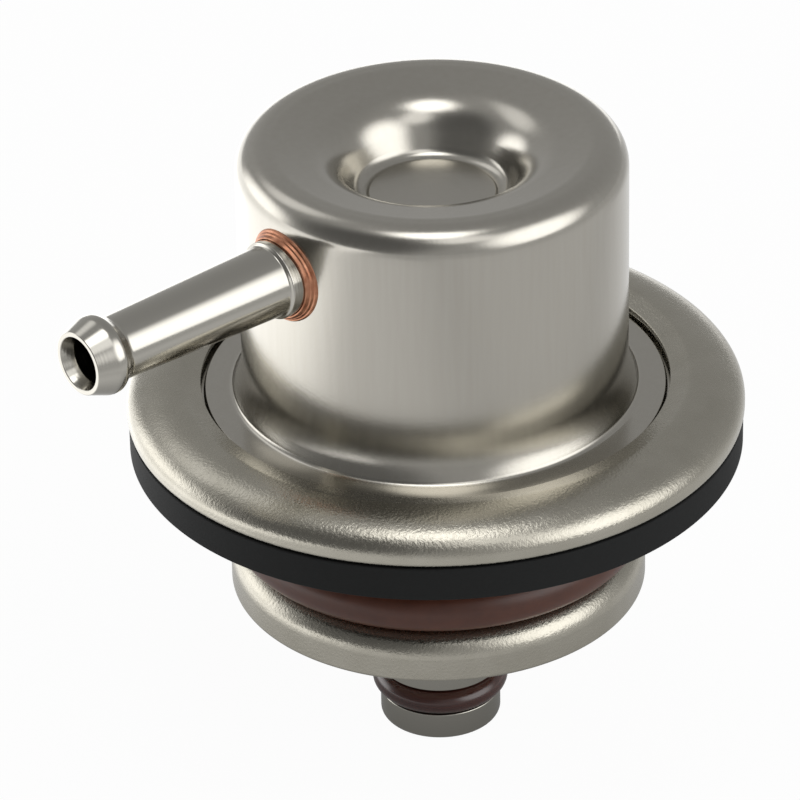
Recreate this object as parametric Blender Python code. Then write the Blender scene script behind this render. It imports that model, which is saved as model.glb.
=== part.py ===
"""Drop-in fuel pressure regulator, modelled piece by piece as it comes apart on a bench.

The regulator's axis is the Z axis, and z = 0 is the underside of the black flange ring, which bears
on the mouth of the regulator's pocket in the fuel rail. The vacuum nipple points along -X. Sizes are
in millimetres and become metres when a mesh is made. Every turned or drawn piece is an outline of
(radius, height) points that a Screw modifier turns about the piece's own axis.
"""

import math

import bmesh
import bpy
from mathutils import Matrix

MM = 0.001

# Facets round the large pieces, the small ones and a fillet
LARGE_STEPS = 32
SMALL_STEPS = 20
FILLET_STEPS = 3

# Clearance between two faces that bear on each other
SEAT_GAP = 0.1

# Spring housing: drawn can whose top sags towards a pressed dimple
CAN_R = 13.17
CAN_TOP_Z = 22.9
CAN_SHEET = 0.7
SHOULDER_FILLET = 1.85
BASE_FILLET = 2.0
CREST_W = 0.6
CREST_FILLET = 2.0
TOP_SAG = 0.8
DIMPLE_MOUTH_R = 6.8
DIMPLE_FLOOR_R = 4.25
DIMPLE_DEPTH = 3.77
DIMPLE_GROOVE_W = 0.45
DIMPLE_GROOVE_D = 0.15
DIMPLE_MOUTH_FILLET = 2.4
DIMPLE_FLOOR_FILLET = 0.7

# Lower housing: chamber, crimp pocket and rolled rim, each set out from the can's wall
LOWER_SHEET = 0.6
CHAMBER_STEP = 1.03
LIP_STEP = 2.83
CRIMP_POCKET_W = 3.5
RIM_FLAT_W = 1.6
RIM_WALL = 1.6
RIM_SIDE_H = 0.7
RIM_EDGE_R = 0.4
LIP_T = 0.7
LIP_SLOPE_W = 1.4
LIP_EDGE_DROP = 0.34
FLANGE_BEND_R = 0.5
NECK_BEND_R = 0.9

# Black flange ring, a little inside the rim's edge
FLANGE_RING_INSET = 0.1
FLANGE_RING_T = 2.4
FLANGE_RING_CHAMFER = 0.12

# Vacuum nipple, its bead and the braze round its collar
NIPPLE_Z = 17.65
NIPPLE_TIP_X = 30.2
NIPPLE_BORE_R = 1.5
NIPPLE_MOUTH_R = 1.85
NIPPLE_MOUTH_DEPTH = 0.9
NIPPLE_TIP_R = 2.15
BEAD_R = 2.7
BEAD_NOSE_L = 1.5
BEAD_CREST_L = 0.5
BEAD_TAIL_L = 0.8
TUBE_TIP_R = 2.15
TUBE_BASE_R = 2.45
COLLAR_STEP = 0.23
COLLAR_L = 1.15
COLLAR_FILLET = 0.2
NIPPLE_TAIL_L = 1.2
BRAZE_W = 0.57
BRAZE_T = 0.65

# Main seal on the neck, between the chamber's shoulder and the support disc
MAIN_SEAL_STEP = 0.5
MAIN_SEAL_SECTION = 3.5
MAIN_SEAL_Z = -5.55

# Support disc, a pressed cap under the neck
DISC_INSET = 0.35
DISC_SHEET = 1.0
DISC_FILLET = 1.6
DISC_H = 3.45
DISC_EDGE_CHAMFER = 0.25

# Fuel inlet holes through the disc and the neck's floor
INLET_COUNT = 6
INLET_R = 1.3
INLET_INSET = 3.4

# Inlet strainer: moulded frame and woven mesh
STRAINER_H = 1.8
STRAINER_WEB_T = 0.8
STRAINER_RIM_W = 0.9
STRAINER_HUB_W = 1.25
STRAINER_SIDE_GAP = 0.25
STRAINER_SPOKES = 6
STRAINER_SPOKE_W = 1.0
MESH_T = 0.2
MESH_SPOKES = 12
MESH_RINGS = 3
MESH_BAR_SHARE = 0.3

# Return spigot and its seal
SPIGOT_STEM_R = 3.65
SPIGOT_TIP_R = 4.2
SPIGOT_BORE_R = 2.0
SPIGOT_END_Z = -22.4
SPIGOT_TIP_H = 2.05
SPIGOT_COLLAR_H = 1.25
SPIGOT_COLLAR_CONE = 0.3
SPIGOT_EDGE_FILLET = 0.4
SPIGOT_FLANGE_R = 5.4
SPIGOT_FLANGE_T = 0.8
SPIGOT_SEAL_R = 4.75
SPIGOT_SEAL_SECTION = 1.8

# Valve seat pressed into the spigot's upper end
SEAT_TOP_Z = -3.8
SEAT_BORE_R = 1.7
SEAT_BODY_R = 2.7
SEAT_FLANGE_R = 3.3
SEAT_FLANGE_T = 0.4
SEAT_BODY_H = 2.1

# Diaphragm and the two plates that grip its middle
DIAPHRAGM_T = 0.4
DIAPHRAGM_SAG = 1.2
ROLL_INSET = 0.27
ROLL_W = 2.7
ROLL_DEPTH = 1.3
SPRING_CUP_INSET = 0.6
SPRING_CUP_T = 0.8
SPRING_CUP_H = 2.2
SPRING_CUP_FILLET = 1.0
WASHER_INSET = 1.2
WASHER_T = 0.8

# Valve holder, ball, ball spring, valve plate and retainer
HOLDER_STEM_R = 2.4
HOLDER_BODY_R = 3.4
HOLDER_HEAD_R = 3.4
HOLDER_HEAD_T = 0.8
PLATE_R = 3.0
PLATE_T = 0.8
BALL_R = 1.6
BALL_SIDE_GAP = 0.15
BALL_SPRING_ROOM = 1.2
BALL_SPRING_WIRE = 0.3
BALL_SPRING_TURNS = 2.5
BALL_SPRING_R = 1.15
RETAINER_T = 0.4
RETAINER_H = 1.8
RETAINER_HOLE_R = 1.5

# Main spring and the washer that the dimple presses on it
SPRING_CUP_GAP = 0.5
SPRING_WIRE = 1.8
SPRING_ACTIVE_TURNS = 3
SPRING_STEPS_PER_TURN = 12
UPPER_SEAT_LIP = 0.9
UPPER_SEAT_T = 0.8
UPPER_SEAT_BOSS_H = 1.0
SPRING_SIDE_GAP = 0.3

# Radii that follow from the can's wall, outwards
CHAMBER_R = CAN_R + CHAMBER_STEP
LIP_R = CAN_R + LIP_STEP
RIM_FLAT_R = LIP_R + RIM_FLAT_W
CRIMP_POCKET_R = LIP_R + CRIMP_POCKET_W
RIM_R = CRIMP_POCKET_R + RIM_WALL
FLANGE_RING_R = RIM_R - FLANGE_RING_INSET

# Radii that follow from the nipple's tube
COLLAR_R = TUBE_BASE_R + COLLAR_STEP
BRAZE_R = COLLAR_R + BRAZE_W

# Radii that follow from the chamber's wall, below it
MAIN_SEAL_R = CHAMBER_R + MAIN_SEAL_STEP
NECK_R = MAIN_SEAL_R - MAIN_SEAL_SECTION - SEAT_GAP
DISC_R = MAIN_SEAL_R - DISC_INSET
INLET_PITCH_R = NECK_R - INLET_INSET

# Radii that follow from the can's wall, inwards
ROLL_OUTER_R = CAN_R - ROLL_INSET
ROLL_INNER_R = ROLL_OUTER_R - ROLL_W
SPRING_CUP_R = ROLL_INNER_R - SPRING_CUP_INSET
WASHER_R = ROLL_INNER_R - WASHER_INSET
SPRING_MEAN_R = SPRING_CUP_R - SPRING_CUP_T - SPRING_CUP_GAP - SPRING_WIRE / 2
UPPER_SEAT_R = SPRING_MEAN_R + SPRING_WIRE / 2 + UPPER_SEAT_LIP

# Heights that follow from the stack, from the flange ring upwards
RIM_BOTTOM_Z = FLANGE_RING_T + SEAT_GAP
CLAMP_FLOOR_Z = RIM_BOTTOM_Z + LOWER_SHEET
DIAPHRAGM_RIM_Z = CLAMP_FLOOR_Z + SEAT_GAP
CAN_FLANGE_Z = DIAPHRAGM_RIM_Z + DIAPHRAGM_T + SEAT_GAP
LIP_UNDER_Z = CAN_FLANGE_Z + CAN_SHEET + SEAT_GAP
RIM_TOP_Z = LIP_UNDER_Z + LIP_T

# Heights that follow from the main seal, downwards
MAIN_SEAL_HALF = MAIN_SEAL_SECTION / 2
SHOULDER_Z = MAIN_SEAL_Z + MAIN_SEAL_HALF + SEAT_GAP
DISC_TOP_Z = MAIN_SEAL_Z - MAIN_SEAL_HALF - SEAT_GAP
DISC_UNDER_Z = DISC_TOP_Z - DISC_SHEET
DISC_BOTTOM_Z = DISC_TOP_Z - DISC_H
NECK_FLOOR_UNDER_Z = DISC_TOP_Z + SEAT_GAP
NECK_FLOOR_Z = NECK_FLOOR_UNDER_Z + LOWER_SHEET
SPIGOT_HOLE_R = SPIGOT_STEM_R + SEAT_GAP

# Heights of the moving stack, upwards from the valve seat
PLATE_Z = SEAT_TOP_Z + SEAT_GAP
BALL_Z = PLATE_Z + PLATE_T + SEAT_GAP + BALL_R
HOLDER_BORE_R = BALL_R + BALL_SIDE_GAP
BALL_SPRING_Z = BALL_Z + BALL_R + SEAT_GAP
HOLDER_BORE_TOP_Z = BALL_SPRING_Z + BALL_SPRING_ROOM
DIAPHRAGM_MIDDLE_Z = DIAPHRAGM_RIM_Z - DIAPHRAGM_SAG
WASHER_Z = DIAPHRAGM_MIDDLE_Z - SEAT_GAP - WASHER_T
HOLDER_BODY_TOP_Z = WASHER_Z - SEAT_GAP
SPRING_CUP_Z = DIAPHRAGM_MIDDLE_Z + DIAPHRAGM_T + SEAT_GAP
HOLDER_HEAD_Z = SPRING_CUP_Z + SPRING_CUP_T + SEAT_GAP
RETAINER_Z = BALL_Z - BALL_R + RETAINER_T
HOLDER_BOTTOM_Z = RETAINER_Z + RETAINER_T + SEAT_GAP
STEM_HOLE_R = HOLDER_STEM_R + SEAT_GAP

# Heights above the main spring
DIMPLE_FLOOR_Z = CAN_TOP_Z - DIMPLE_DEPTH
UPPER_SEAT_TOP_Z = DIMPLE_FLOOR_Z - DIMPLE_GROOVE_D - CAN_SHEET - SEAT_GAP
SPRING_TOP_Z = UPPER_SEAT_TOP_Z - UPPER_SEAT_T - SEAT_GAP
SPRING_BOTTOM_Z = SPRING_CUP_Z + SPRING_CUP_T + SEAT_GAP


def clear_scene():
    for item in list(bpy.data.objects):
        bpy.data.objects.remove(item, do_unlink=True)


def finish(name, colour, roughness, metallic):
    """A Principled material with the finish of one kind of piece."""
    material = bpy.data.materials.new(name)
    material.use_nodes = True
    shader = material.node_tree.nodes["Principled BSDF"]
    shader.inputs["Base Color"].default_value = (*colour, 1.0)
    shader.inputs["Roughness"].default_value = roughness
    shader.inputs["Metallic"].default_value = metallic
    material.diffuse_color = (*colour, 1.0)
    return material


def rounded_path(corners, steps=FILLET_STEPS):
    """The path through (radius, height, fillet) corners, with each corner turned into an arc."""
    path = []
    for index, (x, z, fillet) in enumerate(corners):
        if not fillet:
            path.append((x, z))
            continue
        before, after = corners[index - 1], corners[index + 1]
        arrive = math.atan2(z - before[1], x - before[0])
        leave = math.atan2(after[1] - z, after[0] - x)
        turn = (leave - arrive + math.pi) % (2 * math.pi) - math.pi
        reach = fillet * math.tan(abs(turn) / 2)
        side = math.copysign(1, turn)
        centre_x = x - reach * math.cos(arrive) - side * fillet * math.sin(arrive)
        centre_z = z - reach * math.sin(arrive) + side * fillet * math.cos(arrive)
        for step in range(steps + 1):
            angle = arrive + turn * step / steps
            path.append((centre_x + side * fillet * math.sin(angle),
                         centre_z - side * fillet * math.cos(angle)))
    return path


def sheet_section(face, thickness):
    """The closed section of a sheet: its outer face, and the same path moved inwards by the sheet."""
    back = []
    for index, (x, z) in enumerate(face):
        before = face[max(index - 1, 0)]
        after = face[min(index + 1, len(face) - 1)]
        arrive = math.atan2(z - before[1], x - before[0])
        leave = math.atan2(after[1] - z, after[0] - x)
        if index == 0:
            arrive = leave
        if index == len(face) - 1:
            leave = arrive
        half_turn = ((leave - arrive + math.pi) % (2 * math.pi) - math.pi) / 2
        along = arrive + half_turn
        reach = thickness / math.cos(half_turn)
        back.append((x + reach * math.sin(along), z - reach * math.cos(along)))
    return face + back[::-1]


def add_object(name, mesh, material, parent, location=(0, 0, 0), rotation=(0, 0, 0)):
    """Links a piece, gives it its finish and hangs it on the empty that carries it."""
    piece = bpy.data.objects.new(name, mesh)
    bpy.context.scene.collection.objects.link(piece)
    if material:
        mesh.materials.append(material)
    piece.parent = parent
    piece.location = [value * MM for value in location]
    piece.rotation_euler = rotation
    return piece


def turned(name, outline, material, parent, steps, location=(0, 0, 0), rotation=(0, 0, 0)):
    """A piece turned from its outline, which runs down its outer side and back up its bore.

    An outline that starts and ends on the axis stays open, because its ends meet there.
    """
    mesh = bpy.data.meshes.new(name)
    on_axis = outline[0][0] == 0 and outline[-1][0] == 0
    count = len(outline)
    links = [(i, (i + 1) % count) for i in range(count - 1 if on_axis else count)]
    mesh.from_pydata([(x * MM, 0, z * MM) for x, z in outline], links, [])
    piece = add_object(name, mesh, material, parent, location, rotation)
    screw = piece.modifiers.new("Turn", "SCREW")
    screw.axis = "Z"
    screw.angle = 2 * math.pi
    screw.steps = screw.render_steps = steps
    screw.use_merge_vertices = True
    screw.merge_threshold = 0.000001
    screw.use_smooth_shade = True
    return piece


def ring_outline(outer_r, section, sides):
    """The round section of an O-ring, from its outermost point downwards."""
    half = section / 2
    centre = outer_r - half
    angles = [-2 * math.pi * i / sides for i in range(sides)]
    return [(centre + half * math.cos(a), half * math.sin(a)) for a in angles]


def cutter(name, make, matrix):
    """A hidden helper solid for a Boolean, made by a bmesh operator."""
    mesh = bpy.data.meshes.new(name)
    shape = bmesh.new()
    make(shape)
    bmesh.ops.transform(shape, matrix=matrix, verts=shape.verts)
    bmesh.ops.recalc_face_normals(shape, faces=shape.faces)
    shape.to_mesh(mesh)
    shape.free()
    tool = add_object(name, mesh, None, None)
    tool.hide_render = True
    tool.display_type = "WIRE"
    return tool


def drill(name, radius, length, matrix, sides=SMALL_STEPS):
    """A cylinder cutter along its local Z axis."""
    return cutter(name, lambda shape: bmesh.ops.create_cone(
        shape, cap_ends=True, segments=sides, radius1=radius * MM, radius2=radius * MM,
        depth=length * MM), matrix)


def cut(piece, tool):
    boolean = piece.modifiers.new("Cut " + tool.name, "BOOLEAN")
    boolean.operation = "DIFFERENCE"
    boolean.solver = "EXACT"
    boolean.object = tool


def coil(name, material, parent, mean_r, wire, heights, points_per_turn):
    """A round wire along a helix. heights gives the wire's centre height at each step."""
    curve = bpy.data.curves.new(name, "CURVE")
    curve.dimensions = "3D"
    curve.bevel_depth = wire / 2 * MM
    curve.bevel_resolution = 1
    curve.use_fill_caps = True
    spline = curve.splines.new("POLY")
    spline.points.add(len(heights) - 1)
    for index, height in enumerate(heights):
        angle = 2 * math.pi * index / points_per_turn
        spline.points[index].co = (mean_r * math.cos(angle) * MM,
                                   mean_r * math.sin(angle) * MM, height * MM, 1)
    return add_object(name, curve, material, parent)


def flange_ring(material, parent):
    """Flat plastic ring that the rim presses on the mouth of the pocket."""
    bore = CHAMBER_R + FLANGE_BEND_R + SEAT_GAP
    chamfer = FLANGE_RING_CHAMFER
    outline = [
        (FLANGE_RING_R - chamfer, FLANGE_RING_T),
        (FLANGE_RING_R, FLANGE_RING_T - chamfer),
        (FLANGE_RING_R, chamfer),
        (FLANGE_RING_R - chamfer, 0),
        (bore, 0),
        (bore, FLANGE_RING_T),
    ]
    turned("flange_ring", outline, material, parent, LARGE_STEPS)


def lower_housing(material, parent):
    """Drawn cup whose rim is rolled over the can's flange, with a stepped neck for the main seal."""
    crown_w = RIM_R - RIM_FLAT_R
    crown_h = RIM_TOP_Z - RIM_BOTTOM_Z - RIM_SIDE_H
    crown_steps = FILLET_STEPS + 2
    crown = [(RIM_FLAT_R + crown_w * math.sin(math.pi / 2 * i / crown_steps),
              RIM_BOTTOM_Z + RIM_SIDE_H + crown_h * math.cos(math.pi / 2 * i / crown_steps))
             for i in range(crown_steps + 1)]
    wall = rounded_path([
        (RIM_R, RIM_BOTTOM_Z + RIM_SIDE_H / 2, 0),
        (RIM_R, RIM_BOTTOM_Z, RIM_EDGE_R),
        (CHAMBER_R, RIM_BOTTOM_Z, FLANGE_BEND_R),
        (CHAMBER_R, SHOULDER_Z, NECK_BEND_R),
        (NECK_R, SHOULDER_Z, FLANGE_BEND_R),
        (NECK_R, NECK_FLOOR_UNDER_Z, NECK_BEND_R),
        (SPIGOT_HOLE_R, NECK_FLOOR_UNDER_Z, 0),
    ], FILLET_STEPS - 1)[1:]
    inner_chamber = CHAMBER_R - LOWER_SHEET
    inner_neck = NECK_R - LOWER_SHEET
    inside = rounded_path([
        (SPIGOT_HOLE_R, NECK_FLOOR_Z, 0),
        (inner_neck, NECK_FLOOR_Z, NECK_BEND_R - LOWER_SHEET),
        (inner_neck, SHOULDER_Z + LOWER_SHEET, FLANGE_BEND_R + LOWER_SHEET),
        (inner_chamber, SHOULDER_Z + LOWER_SHEET, NECK_BEND_R - LOWER_SHEET),
        (inner_chamber, CLAMP_FLOOR_Z, FLANGE_BEND_R + LOWER_SHEET),
        (CRIMP_POCKET_R, CLAMP_FLOOR_Z, 0),
        (CRIMP_POCKET_R, LIP_UNDER_Z, 0),
        (LIP_R, LIP_UNDER_Z, 0),
        (LIP_R, RIM_TOP_Z - LIP_EDGE_DROP, 0),
        (LIP_R + LIP_SLOPE_W, RIM_TOP_Z, 0),
    ], FILLET_STEPS - 1)
    housing = turned("lower_housing", crown + wall + inside, material, parent, LARGE_STEPS)
    cut(housing, inlet_drill("housing_inlet_drill", (NECK_FLOOR_Z + NECK_FLOOR_UNDER_Z) / 2))


def inlet_drill(name, height):
    """The ring of drills for the fuel inlet holes, centred on one sheet."""

    def make(shape):
        for index in range(INLET_COUNT):
            turn = Matrix.Rotation(2 * math.pi * (index + 0.5) / INLET_COUNT, 4, "Z")
            place = turn @ Matrix.Translation((INLET_PITCH_R * MM, 0, height * MM))
            bmesh.ops.create_cone(shape, cap_ends=True, segments=SMALL_STEPS // 2,
                                  radius1=INLET_R * MM, radius2=INLET_R * MM,
                                  depth=2 * DISC_SHEET * MM, matrix=place)

    return cutter(name, make, Matrix.Identity(4))


def can_face():
    """The can's outer face, from the dimple's centre over the shoulder to the flange's edge."""
    groove_z = DIMPLE_FLOOR_Z - DIMPLE_GROOVE_D
    groove_r = DIMPLE_FLOOR_R + DIMPLE_GROOVE_W
    dimple = [
        (0, DIMPLE_FLOOR_Z, 0),
        (DIMPLE_FLOOR_R, DIMPLE_FLOOR_Z, 0),
        (DIMPLE_FLOOR_R + DIMPLE_GROOVE_D, groove_z, 0),
        (groove_r + DIMPLE_FLOOR_FILLET / 2, groove_z, DIMPLE_FLOOR_FILLET),
        (DIMPLE_MOUTH_R, CAN_TOP_Z - TOP_SAG, DIMPLE_MOUTH_FILLET),
    ]
    body = [
        (CAN_R - SHOULDER_FILLET - CREST_W, CAN_TOP_Z, CREST_FILLET),
        (CAN_R, CAN_TOP_Z, SHOULDER_FILLET),
        (CAN_R, CAN_FLANGE_Z + CAN_SHEET, BASE_FILLET),
        (CRIMP_POCKET_R - SEAT_GAP, CAN_FLANGE_Z + CAN_SHEET, 0),
    ]
    return rounded_path(dimple + body)


def spring_housing(material, parent):
    """Drawn can over the spring, with the hole that the nipple is brazed into."""
    face = can_face()
    section = sheet_section(face, CAN_SHEET)
    section[-1] = (0, section[-1][1])
    can = turned("spring_housing", section, material, parent, LARGE_STEPS)
    place = Matrix.Translation((-CAN_R * MM, 0, NIPPLE_Z * MM)) @ Matrix.Rotation(-math.pi / 2, 4, "Y")
    cut(can, drill("nipple_drill", TUBE_BASE_R + SEAT_GAP, 4 * CAN_SHEET, place))


def vacuum_nipple(material, parent):
    """Turned hose nipple. Its outline runs from the mouth at the tip to the tail inside the can."""
    collar_z = CAN_R + SEAT_GAP
    crest_z = NIPPLE_TIP_X - BEAD_NOSE_L
    tail_z = crest_z - BEAD_CREST_L - BEAD_TAIL_L
    outside = rounded_path([
        (NIPPLE_TIP_R, NIPPLE_TIP_X, 0),
        (BEAD_R, crest_z, BEAD_CREST_L),
        (BEAD_R, crest_z - BEAD_CREST_L, BEAD_CREST_L / 2),
        (TUBE_TIP_R, tail_z, BEAD_CREST_L),
        (TUBE_BASE_R, collar_z + COLLAR_L, 0),
        (COLLAR_R, collar_z + COLLAR_L - COLLAR_FILLET, 0),
        (COLLAR_R, collar_z, 0),
        (TUBE_BASE_R, collar_z, 0),
        (TUBE_BASE_R, CAN_R - NIPPLE_TAIL_L, 0),
    ], FILLET_STEPS // 2)
    bore = [
        (NIPPLE_BORE_R, CAN_R - NIPPLE_TAIL_L),
        (NIPPLE_BORE_R, NIPPLE_TIP_X - NIPPLE_MOUTH_DEPTH),
        (NIPPLE_MOUTH_R, NIPPLE_TIP_X),
    ]
    turned("vacuum_nipple", outside + bore, material, parent, SMALL_STEPS,
           (0, 0, NIPPLE_Z), (0, -math.pi / 2, 0))


def braze_ring(material, parent):
    """Copper braze round the nipple's collar, with its back face fitted to the can's wall."""
    front = CAN_R + SEAT_GAP + BRAZE_T
    back = CAN_R - CAN_SHEET
    bore = COLLAR_R + SEAT_GAP
    outline = [
        ((bore + BRAZE_R) / 2, front),
        (BRAZE_R, front - BRAZE_T / 2),
        (BRAZE_R, back),
        (bore, back),
        (bore, front),
    ]
    ring = turned("braze_ring", outline, material, parent, SMALL_STEPS,
                  (0, 0, NIPPLE_Z), (0, -math.pi / 2, 0))
    height = 4 * BRAZE_R
    place = Matrix.Translation((0, 0, NIPPLE_Z * MM))
    cut(ring, drill("can_wall", CAN_R + SEAT_GAP, height, place, 2 * LARGE_STEPS))


def o_ring(name, outer_r, section, height, sides, steps, material, parent):
    turned(name, ring_outline(outer_r, section, sides), material, parent, steps, (0, 0, height))


def support_disc(material, parent):
    """Pressed cap that closes the groove of the main seal from below."""
    face = rounded_path([
        (SPIGOT_HOLE_R, DISC_TOP_Z, 0),
        (DISC_R, DISC_TOP_Z, DISC_FILLET),
        (DISC_R, DISC_BOTTOM_Z + DISC_EDGE_CHAMFER, 0),
        (DISC_R - DISC_EDGE_CHAMFER, DISC_BOTTOM_Z, 0),
    ])
    inner_r = DISC_R - DISC_SHEET
    back = rounded_path([
        (inner_r, DISC_BOTTOM_Z, 0),
        (inner_r, DISC_UNDER_Z, DISC_FILLET - DISC_SHEET),
        (SPIGOT_HOLE_R, DISC_UNDER_Z, 0),
    ], FILLET_STEPS - 1)
    disc = turned("support_disc", face + back, material, parent, LARGE_STEPS)
    cut(disc, inlet_drill("disc_inlet_drill", (DISC_TOP_Z + DISC_UNDER_Z) / 2))


def sector_cutter(name, inner_r, outer_r, count, bar_w, height, low_z):
    """One prism for each window between two spokes of a wheel."""

    def make(shape):
        arc_steps = 3
        for index in range(count):
            middle = 2 * math.pi * (index + 0.5) / count
            loop = []
            for radius, order in ((inner_r, 1), (outer_r, -1)):
                half = math.pi / count - math.asin(bar_w / 2 / radius)
                for step in range(arc_steps + 1):
                    angle = middle + order * half * (2 * step / arc_steps - 1)
                    loop.append(shape.verts.new((radius * math.cos(angle) * MM,
                                                 radius * math.sin(angle) * MM, low_z * MM)))
            base = shape.faces.new(loop)
            top = bmesh.ops.extrude_face_region(shape, geom=[base])["geom"]
            moved = [item for item in top if isinstance(item, bmesh.types.BMVert)]
            bmesh.ops.translate(shape, verts=moved, vec=(0, 0, height * MM))

    return cutter(name, make, Matrix.Identity(4))


def strainer_frame(material, parent):
    """Moulded wheel in the support disc's hollow: a hub on the spigot, spokes and a rim."""
    top = DISC_UNDER_Z - SEAT_GAP
    web = top - STRAINER_WEB_T
    bottom = top - STRAINER_H
    rim_r = DISC_R - DISC_SHEET - STRAINER_SIDE_GAP
    rim_inner = rim_r - STRAINER_RIM_W
    hub_r = SPIGOT_HOLE_R + STRAINER_HUB_W
    corner = DISC_FILLET - DISC_SHEET
    outline = [
        (rim_r - corner, top),
        (rim_r, top - corner),
        (rim_r, bottom),
        (rim_inner, bottom),
        (rim_inner, web),
        (hub_r, web),
        (hub_r, bottom),
        (SPIGOT_HOLE_R, bottom),
        (SPIGOT_HOLE_R, top),
    ]
    frame = turned("strainer_frame", outline, material, parent, LARGE_STEPS)
    windows = sector_cutter("strainer_windows", hub_r + SEAT_GAP, rim_inner - SEAT_GAP, STRAINER_SPOKES,
                            STRAINER_SPOKE_W, 2 * STRAINER_WEB_T, web - STRAINER_WEB_T / 2)
    cut(frame, windows)


def strainer_mesh(material, parent):
    """Filter mesh as a pierced flat ring: bars along circles and radii with open cells between."""
    top = DISC_UNDER_Z - SEAT_GAP - STRAINER_WEB_T - SEAT_GAP
    outer_r = DISC_R - DISC_SHEET - STRAINER_SIDE_GAP - STRAINER_RIM_W - SEAT_GAP
    inner_r = SPIGOT_HOLE_R + STRAINER_HUB_W + SEAT_GAP
    cell = (outer_r - inner_r) / (MESH_RINGS + MESH_BAR_SHARE)
    radii = [inner_r + cell * (ring + share)
             for ring in range(MESH_RINGS + 1) for share in (0, MESH_BAR_SHARE)]
    turn = 2 * math.pi / MESH_SPOKES
    angles = [turn * (spoke + share) for spoke in range(MESH_SPOKES) for share in (0, MESH_BAR_SHARE)]
    shape = bmesh.new()
    grid = [[shape.verts.new((r * math.cos(a) * MM, r * math.sin(a) * MM, top * MM)) for a in angles]
            for r in radii]
    for ring in range(len(radii) - 1):
        for spoke in range(len(angles)):
            if ring % 2 and spoke % 2:
                continue
            after = (spoke + 1) % len(angles)
            shape.faces.new((grid[ring][spoke], grid[ring + 1][spoke],
                             grid[ring + 1][after], grid[ring][after]))
    sheet = bmesh.ops.extrude_face_region(shape, geom=list(shape.faces))["geom"]
    lowered = [item for item in sheet if isinstance(item, bmesh.types.BMVert)]
    bmesh.ops.translate(shape, verts=lowered, vec=(0, 0, -MESH_T * MM))
    bmesh.ops.recalc_face_normals(shape, faces=shape.faces)
    mesh = bpy.data.meshes.new("strainer_mesh")
    shape.to_mesh(mesh)
    shape.free()
    add_object("strainer_mesh", mesh, material, parent)


def return_spigot(material, parent):
    """Turned return tube: seat counterbore, flange on the neck's floor, seal groove and tip."""
    groove_low = SPIGOT_END_Z + SPIGOT_TIP_H
    groove_high = groove_low + SPIGOT_SEAL_SECTION + 2 * SEAT_GAP
    collar_high = groove_high + SPIGOT_COLLAR_H
    root = SPIGOT_SEAL_R - SPIGOT_SEAL_SECTION - SEAT_GAP
    flange_low = NECK_FLOOR_Z + SEAT_GAP
    flange_high = flange_low + SPIGOT_FLANGE_T
    stem_top = SEAT_TOP_Z - SEAT_FLANGE_T - SEAT_GAP
    counterbore = stem_top - SEAT_BODY_H
    outside = rounded_path([
        (SPIGOT_STEM_R, stem_top, 0),
        (SPIGOT_STEM_R, flange_high, 0),
        (SPIGOT_FLANGE_R, flange_high, 0),
        (SPIGOT_FLANGE_R, flange_low, 0),
        (SPIGOT_STEM_R, flange_low, 0),
        (SPIGOT_STEM_R, collar_high + SPIGOT_COLLAR_CONE, 0),
        (SPIGOT_TIP_R, collar_high, 0),
        (SPIGOT_TIP_R, groove_high, 0),
        (root, groove_high, 0),
        (root, groove_low, 0),
        (SPIGOT_TIP_R, groove_low, 0),
        (SPIGOT_TIP_R, SPIGOT_END_Z, SPIGOT_EDGE_FILLET),
        (SPIGOT_BORE_R + SPIGOT_EDGE_FILLET, SPIGOT_END_Z, 0),
        (SPIGOT_BORE_R, SPIGOT_END_Z + SPIGOT_EDGE_FILLET, 0),
    ], FILLET_STEPS - 1)
    bore = [
        (SPIGOT_BORE_R, counterbore),
        (SEAT_BODY_R + SEAT_GAP, counterbore),
        (SEAT_BODY_R + SEAT_GAP, stem_top),
    ]
    turned("return_spigot", outside + bore, material, parent, SMALL_STEPS)


def valve_seat(material, parent):
    """Hardened seat ring pressed into the spigot, flanged over its end."""
    flange_low = SEAT_TOP_Z - SEAT_FLANGE_T
    outline = [
        (SEAT_FLANGE_R, SEAT_TOP_Z),
        (SEAT_FLANGE_R, flange_low),
        (SEAT_BODY_R, flange_low),
        (SEAT_BODY_R, flange_low - SEAT_BODY_H),
        (SEAT_BORE_R, flange_low - SEAT_BODY_H),
        (SEAT_BORE_R, SEAT_TOP_Z),
    ]
    turned("valve_seat", outline, material, parent, SMALL_STEPS)


def diaphragm(material, parent):
    """Fabric-reinforced rubber disc with one rolled convolution, clamped at its rim."""
    middle = DIAPHRAGM_MIDDLE_Z + DIAPHRAGM_T
    rim = DIAPHRAGM_RIM_Z + DIAPHRAGM_T
    roll = (ROLL_OUTER_R - ROLL_INNER_R) / 2
    centre = (ROLL_OUTER_R + ROLL_INNER_R) / 2
    roll_steps = FILLET_STEPS + 2
    face = [(STEM_HOLE_R, middle), (ROLL_INNER_R - roll / 2, middle)]
    for step in range(roll_steps + 1):
        share = step / roll_steps
        face.append((centre - roll * math.cos(math.pi * share),
                     middle + (rim - middle) * share - ROLL_DEPTH * math.sin(math.pi * share)))
    face += [(ROLL_OUTER_R + roll, rim), (CRIMP_POCKET_R - SEAT_GAP, rim)]
    turned("diaphragm", sheet_section(face, DIAPHRAGM_T), material, parent, LARGE_STEPS)


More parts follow.
